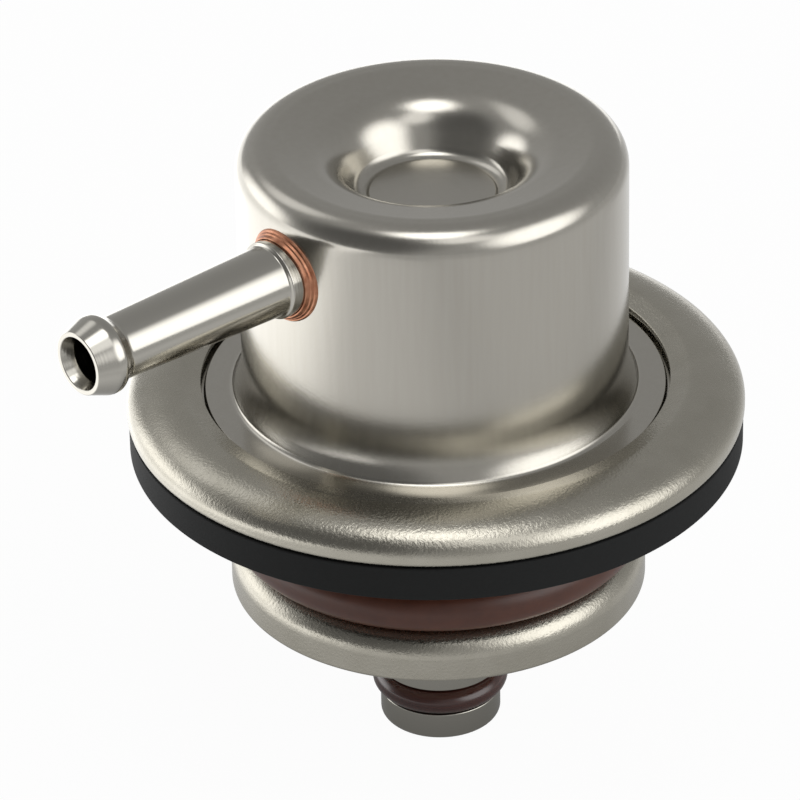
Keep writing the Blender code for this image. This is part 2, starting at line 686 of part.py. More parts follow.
def spring_cup(material, parent):
    """Dished plate over the diaphragm's middle, which carries the main spring."""
    top = SPRING_CUP_Z + SPRING_CUP_T
    inner_r = SPRING_CUP_R - SPRING_CUP_T
    rim_z = SPRING_CUP_Z + SPRING_CUP_H
    outline = rounded_path([
        (SPRING_CUP_R, rim_z, 0),
        (SPRING_CUP_R, SPRING_CUP_Z, SPRING_CUP_FILLET),
        (STEM_HOLE_R, SPRING_CUP_Z, 0),
        (STEM_HOLE_R, top, 0),
        (inner_r, top, SPRING_CUP_FILLET - SPRING_CUP_T),
        (inner_r, rim_z, 0),
    ], FILLET_STEPS // 2)
    turned("spring_cup", outline, material, parent, SMALL_STEPS)


def diaphragm_washer(material, parent):
    """Flat washer that grips the diaphragm from below."""
    edge = WASHER_T / 4
    outline = [
        (WASHER_R, WASHER_Z + WASHER_T),
        (WASHER_R, WASHER_Z + edge),
        (WASHER_R - edge, WASHER_Z),
        (STEM_HOLE_R, WASHER_Z),
        (STEM_HOLE_R, WASHER_Z + WASHER_T),
    ]
    turned("diaphragm_washer", outline, material, parent, SMALL_STEPS)


def valve_holder(material, parent):
    """Turned rivet that grips the plates and holds the ball in a blind bore from below."""
    edge = HOLDER_HEAD_T / 4
    outline = [
        (0, HOLDER_HEAD_Z + HOLDER_HEAD_T),
        (HOLDER_HEAD_R - edge, HOLDER_HEAD_Z + HOLDER_HEAD_T),
        (HOLDER_HEAD_R, HOLDER_HEAD_Z + HOLDER_HEAD_T - edge),
        (HOLDER_HEAD_R, HOLDER_HEAD_Z),
        (HOLDER_STEM_R, HOLDER_HEAD_Z),
        (HOLDER_STEM_R, HOLDER_BODY_TOP_Z),
        (HOLDER_BODY_R, HOLDER_BODY_TOP_Z),
        (HOLDER_BODY_R, HOLDER_BOTTOM_Z),
        (HOLDER_BORE_R, HOLDER_BOTTOM_Z),
        (HOLDER_BORE_R, HOLDER_BORE_TOP_Z),
        (0, HOLDER_BORE_TOP_Z),
    ]
    turned("valve_holder", outline, material, parent, SMALL_STEPS)


def valve_plate(material, parent):
    """Lapped plate under the ball, which closes the seat."""
    edge = PLATE_T / 4
    outline = [
        (0, PLATE_T),
        (PLATE_R - edge, PLATE_T),
        (PLATE_R, PLATE_T - edge),
        (PLATE_R, 0),
        (0, 0),
    ]
    turned("valve_plate", outline, material, parent, SMALL_STEPS, (0, 0, PLATE_Z))


def valve_ball(material, parent):
    """Steel ball that lets the valve plate tilt and lie flat on its seat."""
    rows = SMALL_STEPS // 3
    outline = [(BALL_R * math.sin(math.pi * i / rows), BALL_R * math.cos(math.pi * i / rows))
               for i in range(rows)]
    outline.append((0, -BALL_R))
    turned("valve_ball", outline, material, parent, SMALL_STEPS, (0, 0, BALL_Z))


def ball_retainer(material, parent):
    """Cap crimped round the valve holder, whose hole is smaller than the ball."""
    inner_r = HOLDER_BODY_R + SEAT_GAP
    outer_r = inner_r + RETAINER_T
    outline = [
        (outer_r, RETAINER_Z + RETAINER_H),
        (outer_r, RETAINER_Z),
        (RETAINER_HOLE_R, RETAINER_Z),
        (RETAINER_HOLE_R, RETAINER_Z + RETAINER_T),
        (inner_r, RETAINER_Z + RETAINER_T),
        (inner_r, RETAINER_Z + RETAINER_H),
    ]
    turned("ball_retainer", outline, material, parent, SMALL_STEPS)


def ball_spring(material, parent):
    """Light spring over the ball in the holder's bore."""
    per_turn = 8
    low = BALL_SPRING_Z + BALL_SPRING_WIRE / 2
    high = HOLDER_BORE_TOP_Z - SEAT_GAP - BALL_SPRING_WIRE / 2
    count = int(BALL_SPRING_TURNS * per_turn)
    heights = [low + (high - low) * i / count for i in range(count + 1)]
    coil("ball_spring", material, parent, BALL_SPRING_R, BALL_SPRING_WIRE, heights, per_turn)


def main_spring(material, parent):
    """Compression spring with one closed turn at each end."""
    low = SPRING_BOTTOM_Z + SPRING_WIRE / 2
    high = SPRING_TOP_Z - SPRING_WIRE / 2
    closed_pitch = SPRING_WIRE + SEAT_GAP
    open_pitch = (high - low - 2 * closed_pitch) / SPRING_ACTIVE_TURNS
    turns = SPRING_ACTIVE_TURNS + 2
    heights = []
    for step in range(turns * SPRING_STEPS_PER_TURN + 1):
        turn = step / SPRING_STEPS_PER_TURN
        open_turns = min(max(turn - 1, 0), SPRING_ACTIVE_TURNS)
        heights.append(low + closed_pitch * (turn - open_turns) + open_pitch * open_turns)
    coil("main_spring", material, parent, SPRING_MEAN_R, SPRING_WIRE, heights, SPRING_STEPS_PER_TURN)


def upper_spring_seat(material, parent):
    """Washer between the dimple and the spring, with a boss inside the spring's last turn."""
    low = UPPER_SEAT_TOP_Z - UPPER_SEAT_T
    boss_r = SPRING_MEAN_R - SPRING_WIRE / 2 - SPRING_SIDE_GAP
    edge = UPPER_SEAT_T / 4
    outline = [
        (0, UPPER_SEAT_TOP_Z),
        (UPPER_SEAT_R - edge, UPPER_SEAT_TOP_Z),
        (UPPER_SEAT_R, UPPER_SEAT_TOP_Z - edge),
        (UPPER_SEAT_R, low),
        (boss_r, low),
        (boss_r - edge, low - UPPER_SEAT_BOSS_H),
        (0, low - UPPER_SEAT_BOSS_H),
    ]
    turned("upper_spring_seat", outline, material, parent, SMALL_STEPS)


def axis_empty(name):
    empty = bpy.data.objects.new(name, None)
    bpy.context.scene.collection.objects.link(empty)
    return empty


def build():
    clear_scene()
    body = axis_empty("housing_axis")
    valve = axis_empty("valve_lift_axis")

    drawn_steel = finish("nickel_plated_steel", (0.60, 0.585, 0.55), 0.28, 1.0)
    rim_steel = finish("tumbled_plated_steel", (0.58, 0.565, 0.52), 0.4, 1.0)
    bright_steel = finish("bright_turned_steel", (0.66, 0.65, 0.62), 0.18, 1.0)
    copper = finish("copper_braze", (0.55, 0.24, 0.13), 0.35, 1.0)
    black_plastic = finish("black_glass_filled_nylon", (0.03, 0.032, 0.033), 0.6, 0.0)
    brown_rubber = finish("brown_fluoro_rubber", (0.09, 0.035, 0.025), 0.4, 0.0)
    diaphragm_rubber = finish("fabric_reinforced_rubber", (0.05, 0.05, 0.05), 0.7, 0.0)
    natural_plastic = finish("natural_acetal", (0.75, 0.73, 0.66), 0.5, 0.0)
    mesh_plastic = finish("woven_nylon", (0.8, 0.78, 0.7), 0.6, 0.0)
    spring_steel = finish("oil_tempered_spring_steel", (0.32, 0.31, 0.30), 0.4, 1.0)
    seat_steel = finish("hardened_stainless_steel", (0.62, 0.62, 0.62), 0.22, 1.0)

    flange_ring(black_plastic, body)
    lower_housing(rim_steel, body)
    spring_housing(drawn_steel, body)
    vacuum_nipple(bright_steel, body)
    braze_ring(copper, body)
    o_ring("main_o_ring", MAIN_SEAL_R, MAIN_SEAL_SECTION, MAIN_SEAL_Z, 10, LARGE_STEPS,
           brown_rubber, body)
    support_disc(rim_steel, body)
    strainer_frame(natural_plastic, body)
    strainer_mesh(mesh_plastic, body)
    return_spigot(bright_steel, body)
    seal_z = SPIGOT_END_Z + SPIGOT_TIP_H + SEAT_GAP + SPIGOT_SEAL_SECTION / 2
    o_ring("spigot_o_ring", SPIGOT_SEAL_R, SPIGOT_SEAL_SECTION, seal_z, 8, SMALL_STEPS,
           brown_rubber, body)
    valve_seat(seat_steel, body)
    diaphragm(diaphragm_rubber, body)
    main_spring(spring_steel, body)
    upper_spring_seat(drawn_steel, body)

    spring_cup(drawn_steel, valve)
    diaphragm_washer(drawn_steel, valve)
    valve_holder(bright_steel, valve)
    valve_plate(seat_steel, valve)
    valve_ball(seat_steel, valve)
    ball_retainer(drawn_steel, valve)
    ball_spring(spring_steel, valve)


build()
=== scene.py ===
"""Drop-in fuel pressure regulator, dressed piece by piece in the order in which it is put together.

The regulator's axis is the Z axis, z = 0 is the underside of the black flange ring, and the vacuum
nipple points along -X. Profiles are (radius, height) points in millimetres and become metres when a
mesh is made. Colours are sRGB hex codes.
"""

import math

import bpy
import numpy as np
from mathutils import Matrix


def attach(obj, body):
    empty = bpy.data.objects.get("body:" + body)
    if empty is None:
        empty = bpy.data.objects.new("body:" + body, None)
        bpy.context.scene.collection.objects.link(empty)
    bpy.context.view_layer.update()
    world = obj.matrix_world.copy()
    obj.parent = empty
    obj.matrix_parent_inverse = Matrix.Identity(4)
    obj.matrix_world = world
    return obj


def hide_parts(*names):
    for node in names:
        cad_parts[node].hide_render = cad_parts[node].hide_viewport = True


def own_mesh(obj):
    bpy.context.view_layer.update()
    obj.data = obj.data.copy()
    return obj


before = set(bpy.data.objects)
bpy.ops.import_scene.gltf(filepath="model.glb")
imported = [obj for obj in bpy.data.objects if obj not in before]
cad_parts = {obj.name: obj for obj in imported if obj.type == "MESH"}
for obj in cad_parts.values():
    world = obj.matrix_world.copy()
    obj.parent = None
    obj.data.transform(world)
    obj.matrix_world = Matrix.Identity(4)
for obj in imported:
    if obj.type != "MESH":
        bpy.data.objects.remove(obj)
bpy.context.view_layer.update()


# Lower housing: a cup drawn from 0.6 mm steel strip, stepped in for the main seal. Its rim is rolled
# back over the can's flange and clamps it. The cup is barrel-plated with nickel after tumbling, so it
# has a fine frosted grain that breaks up every highlight.

MM = 0.001


def colour(code):
    """Linear RGBA of an sRGB hex code: a straight line up to 0.04045, above it a power of 2.4."""
    srgb = np.array([int(code[i:i + 2], 16) for i in (1, 3, 5)]) / 255
    linear = np.where(srgb <= 0.04045, srgb / 12.92, ((srgb + 0.055) / 1.055) ** 2.4)
    return (*linear.tolist(), 1.0)


def add_node(tree, kind, inputs, **settings):
    """Adds one node. An input takes a value or another node's output."""
    made = tree.nodes.new("ShaderNode" + kind)
    for key, value in settings.items():
        setattr(made, key, value)
    for key, value in inputs.items():
        if isinstance(value, bpy.types.NodeSocket):
            tree.links.new(value, made.inputs[key])
        else:
            made.inputs[key].default_value = value
    return made


def start_finish(name, code, metallic, roughness):
    """A Principled material of one colour, returned with its tree, inputs and Object coordinates."""
    finish = bpy.data.materials.new(name)
    finish.use_nodes = True
    tree = finish.node_tree
    shader = tree.nodes["Principled BSDF"].inputs
    shader["Base Color"].default_value = colour(code)
    shader["Metallic"].default_value = metallic
    shader["Roughness"].default_value = roughness
    return finish, tree, shader, add_node(tree, "TexCoord", {}).outputs["Object"]


def bent(corners, arc=10, run=8):
    """Path through (radius, height, fillet) corners. A corner becomes the arc of its fillet, which
    touches both runs, and the points of a run crowd towards its ends as a cosine does."""
    corner = np.array(corners, float)
    point, fillet = corner[:, :2], corner[:, 2:]
    along = np.diff(point, axis=0)
    along /= np.linalg.norm(along, axis=1, keepdims=True)
    arrive = np.vstack([along[:1], along])
    leave = np.vstack([along, along[-1:]])
    turn = np.arctan2(arrive[:, 0] * leave[:, 1] - arrive[:, 1] * leave[:, 0], (arrive * leave).sum(1))
    left = np.stack([-arrive[:, 1], arrive[:, 0]], 1)
    bend = np.sign(turn)[:, None] * fillet
    centre = point - arrive * fillet * np.tan(abs(turn) / 2)[:, None] + bend * left
    angle = turn[:, None] * np.linspace(0, 1, arc + 1)
    cos, sin = np.cos(angle), np.sin(angle)
    swung = np.stack([cos * left[:, :1] - sin * left[:, 1:], sin * left[:, :1] + cos * left[:, 1:]], 2)
    arcs = centre[:, None] - bend[:, None] * swung
    share = (1 - np.cos(math.pi * np.arange(1, run) / run))[None, :, None] / 2
    runs = arcs[:-1, -1:] * (1 - share) + arcs[1:, :1] * share
    path = np.vstack([np.concatenate([arcs[:-1], runs], 1).reshape(-1, 2), arcs[-1]])
    return path[np.r_[True, np.linalg.norm(np.diff(path, axis=0), axis=1) > 1e-6]]


def add_piece(name, points, faces):
    """A smooth-shaded object at the origin, with its points given in millimetres."""
    mesh = bpy.data.meshes.new(name)
    mesh.from_pydata((points * MM).tolist(), [], faces)
    mesh.shade_smooth()
    piece = bpy.data.objects.new(name, mesh)
    bpy.context.scene.collection.objects.link(piece)
    return piece


def turned(name, profile, sides, axes=((1, 0, 0), (0, 1, 0), (0, 0, 1)), base=(0, 0, 0), wall=None):
    """Surface of a profile turned about an axis: (r, h) at angle a lies at r cos a, r sin a and h
    along the three axes, from the base. A wall moves each point along the axis by a function of its
    sideways place. A profile that starts and ends on the axis closes in two poles."""
    after = np.roll(profile, -1, axis=0)
    if (profile[:, 0] * after[:, 1] - after[:, 0] * profile[:, 1]).sum() > 0:
        profile = profile[::-1]
    poles = profile[0, 0] < 1e-9 and profile[-1, 0] < 1e-9
    angle = 2 * math.pi * np.arange(sides) / sides
    radius, height = profile[:, :1], profile[:, 1:]
    grid = np.stack([radius * np.cos(angle), radius * np.sin(angle), height + 0 * angle], 2)
    if wall:
        grid[..., 2] += wall(grid[..., 1])
    rows = len(profile)
    index = np.arange(rows * sides).reshape(rows, sides)
    if poles:
        grid = np.vstack([grid[0, :1], grid[1:-1].reshape(-1, 3), grid[-1, :1]])
        index = np.clip(index - sides + 1, 0, len(grid) - 1)
        index[-1] = len(grid) - 1
    below = index[1:] if poles else np.roll(index, -1, axis=0)
    here = index[:len(below)]
    quads = np.stack([here, below, np.roll(below, -1, 1), np.roll(here, -1, 1)], 2)
    faces = quads.reshape(-1, 4).tolist()
    if poles:
        faces = quads[1:-1].reshape(-1, 4).tolist()
        faces += quads[0][:, [0, 1, 2]].tolist() + quads[-1][:, [0, 1, 3]].tolist()
    return add_piece(name, grid.reshape(-1, 3) @ np.array(axes, float) + np.array(base), faces)


CROWN_START_R, RIM_R, RIM_TOP_Z, RIM_SIDE_TOP_Z = 17.6, 21.1, 5.2, 3.2
CUP_FLOOR_Z, CUP_HOLE_R, LARGE_SIDES = -7.3, 3.75, 256
crown_angle = np.linspace(0, math.pi / 2, 33)[:, None]
# The rim's crown is a quarter of an ellipse, from level at the lip to upright at the side
crown = np.hstack([CROWN_START_R + (RIM_R - CROWN_START_R) * np.sin(crown_angle),
                   RIM_SIDE_TOP_Z + (RIM_TOP_Z - RIM_SIDE_TOP_Z) * np.cos(crown_angle)])
cup_outside = bent([
    (RIM_R, RIM_SIDE_TOP_Z, 0), (RIM_R, 2.5, 0.4), (14.2, 2.5, 0.5), (14.2, -3.7, 0.9),
    (11.1, -3.7, 0.5), (11.1, CUP_FLOOR_Z, 0.9), (CUP_HOLE_R, CUP_FLOOR_Z, 0.05), (CUP_HOLE_R, -7.0, 0)])
cup_inside = bent([
    (CUP_HOLE_R, -7.0, 0), (CUP_HOLE_R, -6.7, 0.05), (10.5, -6.7, 0.3), (10.5, -3.1, 1.1),
    (13.6, -3.1, 0.3), (13.6, 3.1, 1.1), (19.5, 3.1, 0.1), (19.5, 4.5, 0.1),
    (16.05, 4.45, 0.03), (16.0, 4.86, 0.08), (17.4, RIM_TOP_Z, 1.5), (CROWN_START_R, RIM_TOP_Z, 0)])
lower_housing = turned("lower_housing_drawn", np.vstack([crown[:-1], cup_outside[:-1], cup_inside[:-1]]),
                       LARGE_SIDES)

# Tumbled and barrel-plated steel: warm grey, with shallow dents of about 0.2 mm that make every
# highlight grainy, over broad patches of slightly lighter and darker plating
tumbled_nickel, tree, shader, place = start_finish("tumbled_nickel_plated_steel", "#b0aca1", 1.0, 0.22)
grain = add_node(tree, "TexNoise", {"Vector": place, "Scale": 1 / 0.0002, "Detail": 2.0, "Roughness": 0.6})
patches = add_node(tree, "TexNoise", {"Vector": place, "Scale": 1 / 0.0025, "Detail": 3.0})
tint = add_node(tree, "MixRGB", {"Fac": patches.outputs["Fac"], "Color1": colour("#a4a094"),
                                 "Color2": colour("#b8b4a9")})
worn = add_node(tree, "MapRange", {"Value": grain.outputs["Fac"], "To Min": 0.16, "To Max": 0.34})
dents = add_node(tree, "Bump", {"Height": grain.outputs["Fac"], "Distance": 0.000022})
tree.links.new(tint.outputs["Color"], shader["Base Color"])
tree.links.new(worn.outputs["Result"], shader["Roughness"])
tree.links.new(dents.outputs["Normal"], shader["Normal"])
lower_housing.data.materials.append(tumbled_nickel)
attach(lower_housing, "housing")
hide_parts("lower_housing")


# Return spigot: turned free-cutting steel, bright-plated. Its flange sits on the cup's floor, its
# groove holds the small seal, and the fuel leaves through its bore.

STEM_R, TIP_R, GROOVE_R, BORE_R, SPIGOT_END_Z = 3.65, 4.2, 2.85, 2.0, -22.4
spigot_section = bent([
    (2.8, -4.3, 0), (STEM_R, -4.3, 0.05), (STEM_R, -5.8, 0.05), (5.4, -5.8, 0.1), (5.4, -6.6, 0.1),
    (STEM_R, -6.6, 0.05), (STEM_R, -16.8, 0.1), (TIP_R, -17.1, 0.1), (TIP_R, -18.35, 0.08),
    (GROOVE_R, -18.35, 0.15), (GROOVE_R, -20.35, 0.15), (TIP_R, -20.35, 0.08),
    (TIP_R, SPIGOT_END_Z, 0.4), (2.4, SPIGOT_END_Z, 0.12), (BORE_R, -22.0, 0.12), (BORE_R, -6.4, 0.1),
    (2.8, -6.4, 0.05), (2.8, -4.3, 0)], 8, 8)
return_spigot = turned("return_spigot_turned", spigot_section[:-1], 160)

# Bright turned steel: fine feed marks round the axis, about 0.08 mm apart
turned_steel, tree, shader, place = start_finish("bright_turned_steel", "#b9b6ad", 1.0, 0.16)
split = add_node(tree, "SeparateXYZ", {"Vector": place})
marks = add_node(tree, "TexNoise", {"W": split.outputs["Z"], "Scale": 1 / 0.00008, "Detail": 2.0},
                 noise_dimensions="1D")
ridges = add_node(tree, "Bump", {"Height": marks.outputs["Fac"], "Distance": 0.0000012})
worn = add_node(tree, "MapRange", {"Value": marks.outputs["Fac"], "To Min": 0.12, "To Max": 0.24})
tree.links.new(worn.outputs["Result"], shader["Roughness"])
tree.links.new(ridges.outputs["Normal"], shader["Normal"])
return_spigot.data.materials.append(turned_steel)
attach(return_spigot, "housing")
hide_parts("return_spigot")


# Valve seat: a hardened stainless ring pressed into the spigot, with a lapped face. Valve plate, ball
# and retainer: the plate closes the seat, the ball lets it tilt, and the retainer is crimped under it.

valve_seat = turned("valve_seat_lapped", bent([
    (2.4, -3.8, 0), (3.3, -3.8, 0.08), (3.3, -4.2, 0.05), (2.7, -4.2, 0.03), (2.7, -6.3, 0.1),
    (1.7, -6.3, 0.08), (1.7, -3.8, 0.05), (2.4, -3.8, 0)], 6, 6)[:-1], 96)
valve_plate = turned("valve_plate_lapped", bent([
    (0, -2.9, 0), (2.8, -2.9, 0.05), (3.0, -3.1, 0.05), (3.0, -3.7, 0.04), (0, -3.7, 0)], 6, 10), 96)
BALL_R, BALL_Z = 1.6, -1.2
pole_angle = np.linspace(0, math.pi, 49)[:, None]
ball_r = abs(BALL_R * np.sin(pole_angle)) * (abs(np.sin(pole_angle)) > 1e-9)
valve_ball = turned("valve_ball_ground", np.hstack([ball_r, BALL_Z + BALL_R * np.cos(pole_angle)]), 96)
ball_retainer = turned("ball_retainer_crimped", bent([
    (3.9, -0.6, 0.1), (3.9, -2.4, 0.35), (1.5, -2.4, 0.1), (1.5, -2.0, 0.1), (3.5, -2.0, 0.1),
    (3.5, -0.6, 0.1), (3.9, -0.6, 0)], 6, 8)[:-1], 96)

# Hardened stainless: bright and slightly cool, lapped with fine grit in no direction
stainless, tree, shader, place = start_finish("hardened_stainless_steel", "#b5b5b3", 1.0, 0.2)
grit = add_node(tree, "TexNoise", {"Vector": place, "Scale": 1 / 0.00006, "Detail": 3.0})
scratches = add_node(tree, "Bump", {"Height": grit.outputs["Fac"], "Distance": 0.0000008})
worn = add_node(tree, "MapRange", {"Value": grit.outputs["Fac"], "To Min": 0.12, "To Max": 0.3})
tree.links.new(worn.outputs["Result"], shader["Roughness"])
tree.links.new(scratches.outputs["Normal"], shader["Normal"])
for piece, node, body in ((valve_seat, "valve_seat", "housing"), (valve_plate, "valve_plate", "valve"),
                          (valve_ball, "valve_ball", "valve"), (ball_retainer, "ball_retainer", "valve")):
    piece.data.materials.append(stainless)
    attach(piece, body)
    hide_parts(node)


# Valve holder: a turned rivet through the diaphragm, headed over the spring cup. Its blind bore holds
# the ball and the ball's light spring.

valve_holder = turned("valve_holder_riveted", bent([
    (0, 4.2, 0), (3.4, 4.2, 0.2), (3.4, 3.4, 0.05), (2.4, 3.4, 0.03), (2.4, 1.0, 0.03), (3.4, 1.0, 0.1),
    (3.4, -1.9, 0.15), (1.75, -1.9, 0.1), (1.75, 1.7, 0.15), (0, 1.7, 0)], 6, 8), 96)
valve_holder.data.materials.append(turned_steel)
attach(valve_holder, "valve")
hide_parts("valve_holder")


# Ball spring and main spring: oil-tempered wire. The main spring has one closed turn at each end and
# presses the valve shut, and its upper end stays put as the valve lifts.

def coiled(name, mean_r, wire, heights, per_turn, round_steps=20):
    """Wire along a helix: the round of the wire, cos b outwards and sin b up, is carried along the
    angle a, and its ends close in a point on the wire's own axis."""
    count = len(heights)
    a = 2 * math.pi * np.arange(count) / per_turn
    b = -2 * math.pi * np.arange(round_steps) / round_steps
    out, up = mean_r + wire / 2 * np.cos(b), wire / 2 * np.sin(b)
    tube = np.stack([out * np.cos(a)[:, None], out * np.sin(a)[:, None], heights[:, None] + up], 2)
    ends = np.stack([mean_r * np.cos(a[[0, -1]]), mean_r * np.sin(a[[0, -1]]), heights[[0, -1]]], 1)
    index = np.arange(count * round_steps).reshape(count, round_steps)
    here, there = index[:-1], index[1:]
    quads = np.stack([here, np.roll(here, -1, 1), np.roll(there, -1, 1), there], 2).reshape(-1, 4).tolist()
    first, last = count * round_steps, count * round_steps + 1
    caps = [[first, q, p] for p, q in zip(index[0].tolist(), np.roll(index[0], -1).tolist())]
    caps += [[last, p, q] for p, q in zip(index[-1].tolist(), np.roll(index[-1], -1).tolist())]
    return add_piece(name, np.vstack([tube.reshape(-1, 3), ends]), quads + caps)


# Five turns: the first and last rise by little more than a wire, the three between are open
CLOSED_RISE, OPEN_RISE, FIRST_TURN_Z, STEPS_PER_TURN = 1.9, 2.76, 4.3, 64
turn_count = np.arange(0, 5 + 1e-9, 1 / STEPS_PER_TURN)
open_turns = np.clip(turn_count - 1, 0, 3)
spring_heights = FIRST_TURN_Z + CLOSED_RISE * (turn_count - open_turns) + OPEN_RISE * open_turns
main_spring = coiled("main_spring_coiled", 7.4, 1.8, spring_heights, STEPS_PER_TURN)
ball_spring = coiled("ball_spring_coiled", 1.15, 0.3, np.linspace(0.65, 1.45, 121), 48, 12)

# Oil-tempered spring wire: dark grey with a dull sheen, mottled with scale of about 0.6 mm
tempered_wire, tree, shader, place = start_finish("oil_tempered_spring_wire", "#77736d", 1.0, 0.38)
scale_spots = add_node(tree, "TexNoise", {"Vector": place, "Scale": 1 / 0.0006, "Detail": 4.0})
tint = add_node(tree, "MixRGB", {"Fac": scale_spots.outputs["Fac"], "Color1": colour("#5f5b55"),
                                 "Color2": colour("#8a867f")})
pits = add_node(tree, "Bump", {"Height": scale_spots.outputs["Fac"], "Distance": 0.000012})
tree.links.new(tint.outputs["Color"], shader["Base Color"])
tree.links.new(pits.outputs["Normal"], shader["Normal"])
for piece, node, body in ((main_spring, "main_spring", "housing"), (ball_spring, "ball_spring", "valve")):
    piece.data.materials.append(tempered_wire)
    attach(piece, body)
    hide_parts(node)
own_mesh(main_spring)


# Diaphragm: nitrile rubber on woven fabric, 0.4 mm thick, with one moulded roll. Its rim is clamped
# between the two housings, and its middle moves with the valve.

DIAPHRAGM_T, MIDDLE_Z, CLAMP_Z = 0.4, 2.4, 3.6
share = np.linspace(0, 1, 41)[:, None]
roll = np.hstack([11.55 - 1.35 * np.cos(math.pi * share),
                  MIDDLE_Z + (CLAMP_Z - MIDDLE_Z) * share - 1.3 * np.sin(math.pi * share)])
upper_face = np.vstack([bent([(2.5, MIDDLE_Z, 0), (9.525, MIDDLE_Z, 0)])[:-1], roll,
                        bent([(14.25, CLAMP_Z, 0), (19.4, CLAMP_Z, 0)])])
slope = np.gradient(upper_face, axis=0)
slope /= np.linalg.norm(slope, axis=1, keepdims=True)
lower_face = upper_face + DIAPHRAGM_T * np.stack([slope[:, 1], -slope[:, 0]], 1)
diaphragm = turned("diaphragm_moulded", np.vstack([upper_face, lower_face[::-1]]), 160)

# Fabric-reinforced rubber: black and dull, with the cloth showing through at 0.35 mm a thread
reinforced_rubber, tree, shader, place = start_finish("fabric_reinforced_nitrile", "#23211f", 0.0, 0.72)
warp = add_node(tree, "TexWave", {"Vector": place, "Scale": 0.314 / 0.0007}, bands_direction="X")
weft = add_node(tree, "TexWave", {"Vector": place, "Scale": 0.314 / 0.0007}, bands_direction="Y")
cloth = add_node(tree, "Math", {0: warp.outputs["Fac"], 1: weft.outputs["Fac"]}, operation="MULTIPLY")
threads = add_node(tree, "Bump", {"Height": cloth.outputs["Value"], "Distance": 0.00003})
tree.links.new(threads.outputs["Normal"], shader["Normal"])
diaphragm.data.materials.append(reinforced_rubber)
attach(diaphragm, "housing")
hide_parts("diaphragm")
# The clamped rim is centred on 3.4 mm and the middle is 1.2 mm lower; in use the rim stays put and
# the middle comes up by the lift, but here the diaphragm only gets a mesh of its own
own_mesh(diaphragm)


# Diaphragm washer, spring cup and upper spring seat: stamped plates. The washer and the cup grip the
# diaphragm's middle, and the seat passes the dimple's push to the spring.

diaphragm_washer = turned("diaphragm_washer_stamped", bent([
    (5, 1.9, 0), (9.0, 1.9, 0.1), (9.0, 1.1, 0.3), (2.5, 1.1, 0.05), (2.5, 1.9, 0.05), (5, 1.9, 0)],
    8, 10)[:-1], 128)
spring_cup = turned("spring_cup_stamped", bent([
    (9.2, 4.7, 0), (9.6, 4.7, 0.1), (9.6, 2.5, 1.0), (2.5, 2.5, 0.05), (2.5, 3.3, 0.05), (8.8, 3.3, 0.2),
    (8.8, 4.7, 0.1), (9.2, 4.7, 0)], 8, 10)[:-1], 128)
upper_spring_seat = turned("upper_spring_seat_stamped", bent([
    (0, 18.18, 0), (9.2, 18.18, 0.25), (9.2, 17.38, 0.1),
    (6.2, 17.38, 0.1), (6.05, 16.38, 0.2), (0, 16.38, 0)], 8, 10), 128)


# Spring housing: a can deep-drawn from 0.7 mm steel strip and nickel-plated to a smooth satin. The
# dimple in its top is pressed in last, which sets the spring's load and so the fuel pressure. Its foot
# flares out to a flat flange, with a narrow slit beside the lip that clamps it.

CAN_R, CAN_TOP_Z, CAN_INNER_R = 13.17, 22.9, 12.47
FLANGE_R, FLANGE_TOP_Z, FLANGE_UNDER_Z, SLIT_Z = 19.4, 4.4, 3.7, 4.05
dimple_face = [(0, 19.05, 0), (2.2, 19.07, 30), (4.25, 19.13, 0.1), (4.4, 18.98, 0.08),
               (5.1, 18.98, 1.0), (6.65, 22.07, 3.7)]
can_outside = [(10.72, CAN_TOP_Z, 2.0), (CAN_R, CAN_TOP_Z, 1.85), (CAN_R, 5.9, 5.0)]
flange_face = [(13.84, FLANGE_TOP_Z, 0.45), (15.7, FLANGE_TOP_Z, 0.06), (15.8, SLIT_Z, 0.05),
               (16.4, SLIT_Z, 0.05), (16.5, FLANGE_TOP_Z, 0.05), (FLANGE_R, FLANGE_TOP_Z, 0.1),
               (FLANGE_R, FLANGE_UNDER_Z, 0.1)]
can_inside = [(CAN_INNER_R, FLANGE_UNDER_Z, 2.7), (CAN_INNER_R, 22.2, 1.15), (10.79, 22.2, 1.3),
              (7.254, 21.478, 1.7), (5.46, 18.28, 1.4), (0, 18.28, 0)]
spring_housing = turned("spring_housing_drawn",
                        bent(dimple_face + can_outside + flange_face + can_inside, 10, 8), LARGE_SIDES)

# Satin nickel on drawn steel: warm grey and smooth, with a soft fine texture and faint drawing lines
satin_nickel, tree, shader, place = start_finish("satin_nickel_plated_steel", "#b2aea6", 1.0, 0.2)
orange_peel = add_node(tree, "TexNoise", {"Vector": place, "Scale": 1 / 0.00022, "Detail": 2.0})
stretch = add_node(tree, "Mapping", {"Vector": place, "Scale": (1.0, 1.0, 0.06)})
draw_lines = add_node(tree, "TexNoise", {"Vector": stretch.outputs["Vector"], "Scale": 1 / 0.0004,
                                         "Detail": 3.0})
tint = add_node(tree, "MixRGB", {"Fac": draw_lines.outputs["Fac"], "Color1": colour("#b1ada4"),
                                 "Color2": colour("#b7b4ac")})
worn = add_node(tree, "MapRange", {"Value": draw_lines.outputs["Fac"], "To Min": 0.18, "To Max": 0.21})
skin = add_node(tree, "Bump", {"Height": orange_peel.outputs["Fac"], "Distance": 0.0000025})
tree.links.new(tint.outputs["Color"], shader["Base Color"])
tree.links.new(worn.outputs["Result"], shader["Roughness"])
tree.links.new(skin.outputs["Normal"], shader["Normal"])
for piece, node, body in ((diaphragm_washer, "diaphragm_washer", "valve"),
                          (spring_cup, "spring_cup", "valve"),
                          (upper_spring_seat, "upper_spring_seat", "housing"),
                          (spring_housing, "spring_housing", "housing")):
    piece.data.materials.append(satin_nickel)
    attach(piece, body)
    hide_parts(node)


# Vacuum nipple: turned from bar, with a conical nose and a round bead that hold the hose, and a
# collar that stops it at the can's wall. It is polished bright before it is brazed in.

